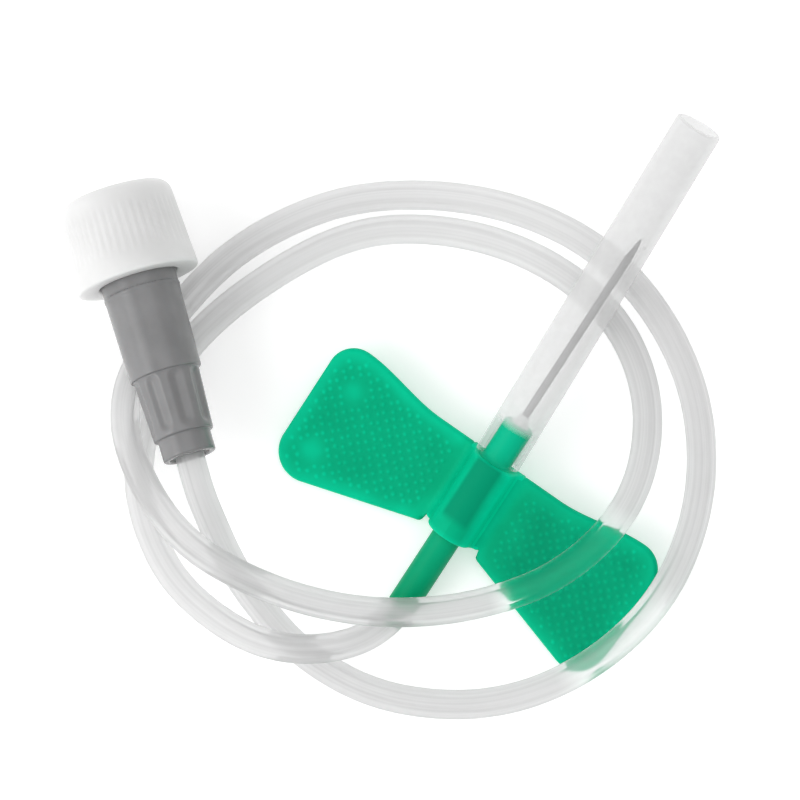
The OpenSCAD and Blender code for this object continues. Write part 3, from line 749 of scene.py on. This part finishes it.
profile = refined(softened([
    [lumen_radius, socket_depth, 0], [1.91, socket_depth, 0.05], [2.15, 0, 0.12],
    [body_radius, 0, 0.2], [body_at(5.0), 5.0, 0],
    [body_at(bead_place - bead_half), bead_place - bead_half, 0.12],
    [body_at(bead_place) + bead_height, bead_place, 0.16],
    [body_at(bead_place + bead_half), bead_place + bead_half, 0.12],
    [body_end_radius, body_length, 0.4],
    [grip_radius, body_length + 0.05, 0.12], [grip_radius, body_length + 0.3, 0.05],
    [(grip_radius + grip_end_radius) / 2, body_length + grip_length / 2, 0],
    [grip_end_radius, body_length + grip_length, 0.3],
    [collar_radius, body_length + grip_length + 0.05, 0.15], [collar_radius, connector_length, 0.5],
    [1.95, connector_length, 0.12], [1.8, connector_length - 0.35, 0.1],
    [1.5, connector_length - 0.35, 0.05], [tube_seat_radius, connector_length - 0.6, 0],
    [tube_seat_radius, tube_seat_end, 0.05], [lumen_radius, tube_seat_end, 0.05],
    [lumen_radius, socket_depth, 0]], 5), 0.22)
angle = np.linspace(0, 2 * np.pi, 320, endpoint=False)[None]
radius, along = profile[:, :1] + 0 * angle, profile[:, 1:] + 0 * angle
is_outer = (np.arange(len(profile)) > np.argmax(profile[:, 1] <= 0.001))[:, None] & (profile[:, :1] > 2.2)
flute_pitch = 2 * np.pi / flute_count
off_flute = (np.mod(angle, flute_pitch) - flute_pitch / 2) * flute_base_radius
flute_start, flute_stop = body_length + 0.85, body_length + grip_length - 1.2
past_end = np.maximum(np.maximum(flute_start - along, along - flute_stop), 0)
from_flute = np.clip(np.hypot(off_flute / flute_half_width, past_end / flute_fade), 0, 1)
flute = np.cos(from_flute * np.pi / 2) ** 2
in_grip = (along > body_length + 0.2) & (along < body_length + grip_length - 0.25) & is_outer
radius = radius - flute_depth * np.where(in_grip, flute, 0)
lug_rise = np.clip((lug_half_width - np.abs(radius * np.sin(angle))) / 0.12, 0, 1)
lug_end = np.clip((lug_length - along) / 0.15, 0, 1) * np.clip(along / 0.1, 0, 1)
with_lugs = np.maximum(radius, radius + (lug_radius - radius) * lug_rise * lug_end)
radius = np.where(is_outer & (along < lug_length + 0.3), with_lugs, radius)
connector = grid_piece("grey_connector", at_connector(
    radius * np.cos(angle), along, radius * np.sin(angle)), loop_rows=True, merge=1e-6)


def moulded_plastic(name, darker, lighter, cloud_scale, grain_scale, **sockets):
    """A moulding's plastic: its colour is cloudy between two near shades, and its skin
    has a very fine grain. The other sockets are set as in new_finish."""
    finish, tree, shader = new_finish(name, **sockets)
    place = add_node(tree, "ShaderNodeTexCoord")
    clouds = add_node(tree, "ShaderNodeTexNoise", Vector=place.outputs["Object"], Scale=cloud_scale,
                      Detail=3.0)
    shade = add_node(tree, "ShaderNodeValToRGB", Fac=clouds.outputs["Fac"])
    for stop, position, colour in zip(shade.color_ramp.elements, (0.3, 0.7), (darker, lighter)):
        stop.position, stop.color = position, (*colour, 1)
    tree.links.new(shade.outputs["Color"], shader.inputs["Base Color"])
    grain = add_node(tree, "ShaderNodeTexNoise", Vector=place.outputs["Object"], Scale=grain_scale,
                     Detail=2.0)
    satin = add_node(tree, "ShaderNodeBump", Strength=0.08, Distance=0.00005, Height=grain.outputs["Fac"])
    tree.links.new(satin.outputs["Normal"], shader.inputs["Normal"])
    return finish


connector.data.materials.append(moulded_plastic(
    "connector_grey", (0.19, 0.19, 0.193), (0.22, 0.22, 0.223), 350.0, 4000.0,
    Roughness=0.27, IOR=1.52, Subsurface_Weight=0.05, Subsurface_Scale=0.0005))
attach(connector, "set")
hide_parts("cone_connector")


# Cap
# Moulded white polyethylene with fine ribs round its middle. Its plug closes
# the connector's cone, and its skirt stands clear of the body but for a small
# lip inside its rim.
cap_rim = 7.25
cap_height = 8.75
cap_top = cap_rim - cap_height
cap_radius, cap_top_radius, cap_bore, cap_lip = 5.925, 5.4, 4.12, 3.8
cap_floor, plug_radius, plug_tip_radius, plug_tip = -0.3, 2.04, 1.85, 6.4
rib_count, rib_height = 48, 0.075
profile = refined(softened([
    [0.0, cap_top, 0], [cap_top_radius, cap_top, 1.3], [cap_radius, cap_rim, 0.3],
    [cap_lip, cap_rim, 0.3], [cap_lip, cap_rim - 0.8, 0.2], [cap_bore, cap_rim - 1.3, 0.2],
    [cap_bore, cap_floor, 0.3], [plug_radius, cap_floor, 0.15],
    [plug_tip_radius, plug_tip - 0.1, 0.25], [0.0, plug_tip, 0]], 8), 0.25)
angle = np.linspace(0, 2 * np.pi, 480, endpoint=False)[None]
radius, along = profile[:, :1] + 0 * angle, profile[:, 1:] + 0 * angle
skirt = radius > cap_bore + 0.6
height_share = (cap_rim - along) / cap_height
band = np.clip((height_share - 0.2) / 0.1, 0, 1) * np.clip((0.8 - height_share) / 0.1, 0, 1)
groove = 0.5 + 0.5 * np.cos(angle * rib_count)
radius = radius - rib_height * np.where(skirt, band * groove, 0)
cap = grid_piece(
    "white_cap", at_connector(radius * np.cos(angle), along, radius * np.sin(angle)), merge=1e-6)
cap.data.materials.append(moulded_plastic(
    "cap_white", (0.72, 0.72, 0.717), (0.77, 0.77, 0.767), 240.0, 3500.0, Roughness=0.42, IOR=1.48,
    Subsurface_Weight=0.7, Subsurface_Scale=0.003, Subsurface_Radius=(1.0, 1.0, 1.0)))
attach(cap, "cap")
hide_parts("end_cap")


# Studio
# A plain pale light table under an even sky, with a wide low light from the
# picture's left, a small key light above it and a soft top light.
floor_mesh = bpy.data.meshes.new("floor")
floor_mesh.from_pydata([(-3, -3, 0), (3, -3, 0), (3, 3, 0), (-3, 3, 0)], [], [(0, 1, 2, 3)])
floor = bpy.data.objects.new("floor", floor_mesh)
bpy.context.scene.collection.objects.link(floor)
floor_finish, tree, shader = new_finish(
    "pale_floor", Base_Color=(0.84, 0.84, 0.84, 1), Roughness=0.8, Specular_IOR_Level=0.1,
    Emission_Color=(1, 1, 1, 1), Emission_Strength=0.34)
floor.data.materials.append(floor_finish)


def soft_light(name, towards, away, size, power):
    """A square area light at a distance in a direction from the set, facing it."""
    lamp = bpy.data.objects.new(name, bpy.data.lights.new(name, "AREA"))
    bpy.context.scene.collection.objects.link(lamp)
    towards = np.array(towards) / np.linalg.norm(towards)
    side = np.cross([0.3, 0.2, 0.9], towards)
    side /= np.linalg.norm(side)
    pose = np.eye(4)
    pose[:3, 0], pose[:3, 1], pose[:3, 2] = side, np.cross(towards, side), towards
    pose[:3, 3] = away * towards
    lamp.matrix_world = Matrix(pose.tolist())
    lamp.data.size, lamp.data.energy = size, power
    lamp.visible_camera = False


soft_light("side_light", -picture_right - 0.25 * picture_up + 0.42 * towards_camera, 0.9, 1.2, 4.4)
soft_light("key_light", -picture_right - 0.2 * picture_up + 0.8 * towards_camera, 0.9, 0.3, 0.8)
soft_light("top_light", 0.2 * picture_up + 0.1 * picture_right + towards_camera, 1.1, 0.9, 2.0)

world = bpy.data.worlds.new("sky")
world.use_nodes = True
world.node_tree.nodes["Background"].inputs["Color"].default_value = (1, 1, 1, 1)
world.node_tree.nodes["Background"].inputs["Strength"].default_value = 0.67
bpy.context.scene.world = world
bpy.context.scene.view_settings.view_transform = "Standard"
